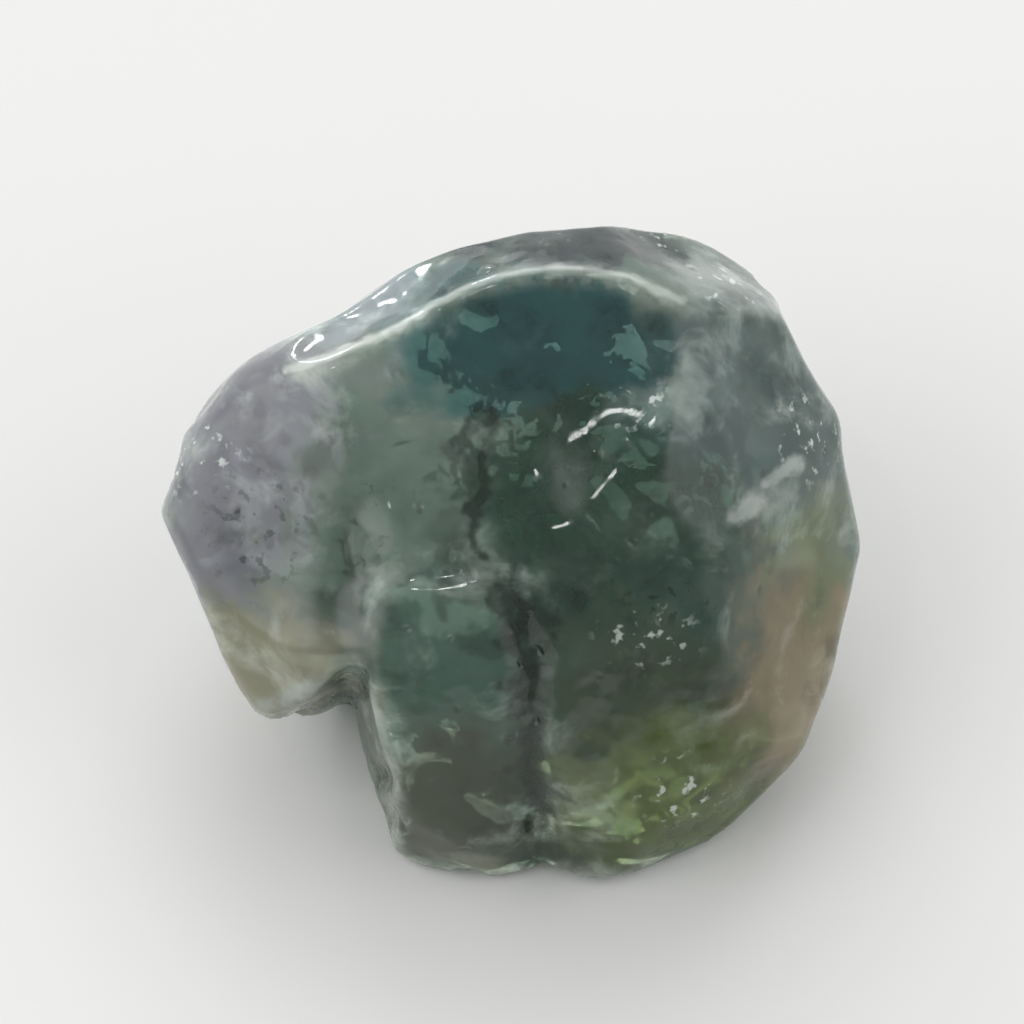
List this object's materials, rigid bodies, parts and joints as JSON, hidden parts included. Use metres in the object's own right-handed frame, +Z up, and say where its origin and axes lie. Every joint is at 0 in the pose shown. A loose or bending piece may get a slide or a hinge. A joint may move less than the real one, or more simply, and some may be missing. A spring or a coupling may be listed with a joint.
{
  "type": "moss agate chip",
  "caption": "Tumbled chip of translucent moss agate with a domed front, a crest and a notch; lies on a flat underside as loose filler or decoration.",
  "frame": {"origin": "bottom centre of the chip's box, on the surface that the chip lies on", "axes": "+Z up; +X along the chip's longest extent, to the right as the broad face is seen; -Y towards the viewer of the broad face, which slopes down to the front"},
  "size_m": [0.0096, 0.008, 0.0066],
  "materials": {
    "moss_agate": "tumbled to a wet polish, translucent grey-green with dark green moss-like inclusions"
  },
  "bodies": {
    "root": {"agate_chip": "moss_agate"}
  },
  "joints": []
}
